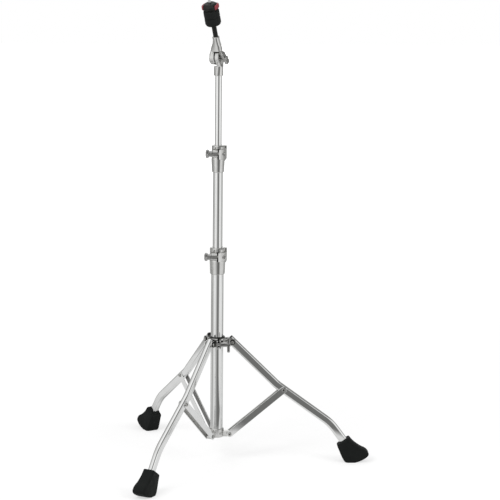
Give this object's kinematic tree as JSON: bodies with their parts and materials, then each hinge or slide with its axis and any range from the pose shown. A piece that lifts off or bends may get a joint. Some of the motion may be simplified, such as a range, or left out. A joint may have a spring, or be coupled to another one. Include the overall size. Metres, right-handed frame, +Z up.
{
  "type": "straight cymbal stand",
  "caption": "Straight cymbal stand in chrome with a double-braced folding tripod, telescoping tubes, a tilter, black felts and a quick-release nut.",
  "frame": {"origin": "On the floor below the middle of the bounding box of the open stand; the column stands 82 mm toward -X of it.", "axes": "+Z up along the column, +X along the right-hand leg, the picture looks along +Y"},
  "size_m": [0.5386, 0.62, 1.069],
  "materials": {
    "chrome": "polished",
    "castings": "polished",
    "zinc_steel": "satin",
    "black_nylon": "satin",
    "black_rubber": "matte",
    "black_felt": "matte",
    "red_plastic": "satin"
  },
  "bodies": {
    "stand_base": {"base_tube": "chrome", "lower_collar": "castings", "lower_collar_screw": "zinc_steel", "base_clamp": "castings", "base_clamp_bush": "black_nylon", "base_clamp_bolt": "zinc_steel", "brace_pin_right": "zinc_steel", "brace_pin_back": "zinc_steel", "brace_pin_front": "zinc_steel"},
    "leg_collar_slide": {"leg_collar": "castings", "leg_collar_bush": "black_nylon", "leg_pivot_screw_right_a": "zinc_steel", "leg_pivot_screw_right_b": "zinc_steel", "leg_pivot_screw_back_a": "zinc_steel", "leg_pivot_screw_back_b": "zinc_steel", "leg_pivot_screw_front_a": "zinc_steel", "leg_pivot_screw_front_b": "zinc_steel"},
    "leg_collar_wing": {"leg_collar_wing_bolt": "castings"},
    "base_clamp_wing": {"base_clamp_wing_nut": "castings"},
    "lower_lock": {"lower_stop_lock": "castings", "lower_stop_lock_screw": "zinc_steel"},
    "middle_column": {"middle_tube": "chrome", "upper_clamp": "castings", "upper_clamp_bush": "black_nylon", "upper_clamp_bolt": "zinc_steel"},
    "upper_clamp_wing": {"upper_clamp_wing_nut": "castings"},
    "upper_lock": {"upper_stop_lock": "castings", "upper_stop_lock_screw": "zinc_steel"},
    "top_column": {"top_tube": "chrome", "tilter_base": "castings", "tilter_washer": "black_nylon", "tilter_bolt": "zinc_steel"},
    "tilter_wing": {"tilter_wing_nut": "castings"},
    "rod_arm": {"tilter_head": "castings", "cymbal_rod": "chrome"},
    "sleeve": {"cymbal_sleeve": "black_nylon"},
    "felt_low": {"lower_felt": "black_felt"},
    "felt_high": {"upper_felt": "black_felt"},
    "release_nut": {"quick_nut": "black_nylon"},
    "button_right": {"nut_button_right": "red_plastic"},
    "button_left": {"nut_button_left": "red_plastic"},
    "strut_right": {"brace_right_a": "chrome", "brace_right_b": "chrome"},
    "leg_arm_right": {"leg_right": "chrome", "leg_plug_right": "black_nylon", "foot_right": "black_rubber", "leg_rivet_right": "zinc_steel"},
    "strut_back": {"brace_back_a": "chrome", "brace_back_b": "chrome"},
    "leg_arm_back": {"leg_back": "chrome", "leg_plug_back": "black_nylon", "foot_back": "black_rubber", "leg_rivet_back": "zinc_steel"},
    "strut_front": {"brace_front_a": "chrome", "brace_front_b": "chrome"},
    "leg_arm_front": {"leg_front": "chrome", "leg_plug_front": "black_nylon", "foot_front": "black_rubber", "leg_rivet_front": "zinc_steel"}
  },
  "joints": [
    {"name": "fold_brace_right", "type": "hinge", "parent": "stand_base", "child": "strut_right", "pos_m": [-0.0517, 0, 0.0662], "axis": [0, -1, 0], "range_deg": [0, 44.66]},
    {"name": "fold_leg_right", "type": "hinge", "parent": "strut_right", "child": "leg_arm_right", "pos_m": [0.07141, 0, 0.17072], "axis": [0, 1, 0], "range_deg": [0, 87.78]},
    {"name": "fold_brace_back", "type": "hinge", "parent": "stand_base", "child": "strut_back", "pos_m": [-0.0973, 0.02633, 0.0662], "axis": [0.866, 0.5, 0], "range_deg": [0, 44.66]},
    {"name": "fold_leg_back", "type": "hinge", "parent": "strut_back", "child": "leg_arm_back", "pos_m": [-0.15886, 0.13294, 0.17072], "axis": [-0.866, -0.5, 0], "range_deg": [0, 87.78]},
    {"name": "fold_brace_front", "type": "hinge", "parent": "stand_base", "child": "strut_front", "pos_m": [-0.0973, -0.02633, 0.0662], "axis": [-0.866, 0.5, 0], "range_deg": [0, 44.66]},
    {"name": "fold_leg_front", "type": "hinge", "parent": "strut_front", "child": "leg_arm_front", "pos_m": [-0.15886, -0.13294, 0.17072], "axis": [0.866, -0.5, 0], "range_deg": [0, 87.78]},
    {"name": "leg_collar_travel", "type": "slide", "parent": "stand_base", "child": "leg_collar_slide", "axis": [0, 0, 1], "range_m": [0, 0.10668]},
    {"name": "leg_collar_wing_turn", "type": "hinge", "parent": "leg_collar_slide", "child": "leg_collar_wing", "pos_m": [-0.0733, -0.0314, 0.283], "axis": [1, 0, 0], "range_deg": [0, 360]},
    {"name": "base_clamp_wing_turn", "type": "hinge", "parent": "stand_base", "child": "base_clamp_wing", "pos_m": [-0.097, -0.0184, 0.4837], "axis": [-1, 0, 0], "range_deg": [0, 360]},
    {"name": "middle_tube_turn", "type": "hinge", "parent": "stand_base", "child": "lower_lock", "pos_m": [-0.0821, 0, 0.4936], "axis": [0, 0, 1], "range_deg": [-180, 180]},
    {"name": "middle_tube_height", "type": "slide", "parent": "lower_lock", "child": "middle_column", "axis": [0, 0, 1], "range_m": [-0.17, 0.18]},
    {"name": "upper_clamp_wing_turn", "type": "hinge", "parent": "middle_column", "child": "upper_clamp_wing", "pos_m": [-0.0953, -0.0152, 0.7189], "axis": [-1, 0, 0], "range_deg": [0, 360]},
    {"name": "top_tube_turn", "type": "hinge", "parent": "middle_column", "child": "upper_lock", "pos_m": [-0.0821, 0, 0.7288], "axis": [0, 0, 1], "range_deg": [-180, 180]},
    {"name": "top_tube_height", "type": "slide", "parent": "upper_lock", "child": "top_column", "axis": [0, 0, 1], "range_m": [-0.15, 0.165]},
    {"name": "tilter_wing_turn", "type": "hinge", "parent": "top_column", "child": "tilter_wing", "pos_m": [-0.07535, -0.0039, 0.934], "axis": [0.866, -0.5, 0], "range_deg": [0, 360]},
    {"name": "rod_tilt", "type": "hinge", "parent": "top_column", "child": "rod_arm", "pos_m": [-0.0821, 0, 0.934], "axis": [0.866, -0.5, 0], "range_deg": [-110.3, 69.7]},
    {"name": "sleeve_lift", "type": "slide", "parent": "rod_arm", "child": "sleeve", "axis": [-0.1735, -0.3005, 0.9379], "range_m": [0, 0.06]},
    {"name": "lower_felt_lift", "type": "slide", "parent": "sleeve", "child": "felt_low", "axis": [-0.1735, -0.3005, 0.9379], "range_m": [0, 0.03]},
    {"name": "upper_felt_lift", "type": "slide", "parent": "felt_low", "child": "felt_high", "axis": [-0.1735, -0.3005, 0.9379], "range_m": [0, 0.03]},
    {"name": "nut_lift", "type": "slide", "parent": "felt_high", "child": "release_nut", "axis": [-0.1735, -0.3005, 0.9379], "range_m": [0, 0.03]},
    {"name": "button_right_press", "type": "slide", "parent": "release_nut", "child": "button_right", "axis": [-0.9446, 0.3202, -0.0721], "range_m": [0, 0.0024], "stiffness_N_per_m": 1500},
    {"name": "button_left_press", "type": "slide", "parent": "release_nut", "child": "button_left", "axis": [0.9446, -0.3202, 0.0721], "range_m": [0, 0.0024], "stiffness_N_per_m": 1500}
  ],
  "couplings": [
    {"joint": "fold_brace_back", "follows": "fold_brace_right", "ratio": 1},
    {"joint": "fold_brace_front", "follows": "fold_brace_right", "ratio": 1},
    {"joint": "fold_leg_right", "follows": "fold_brace_right", "ratio": 1.9654},
    {"joint": "fold_leg_back", "follows": "fold_brace_right", "ratio": 1.9654},
    {"joint": "fold_leg_front", "follows": "fold_brace_right", "ratio": 1.9654},
    {"joint": "leg_collar_travel", "follows": "fold_brace_right", "m_per_rad": 0.13686}
  ]
}
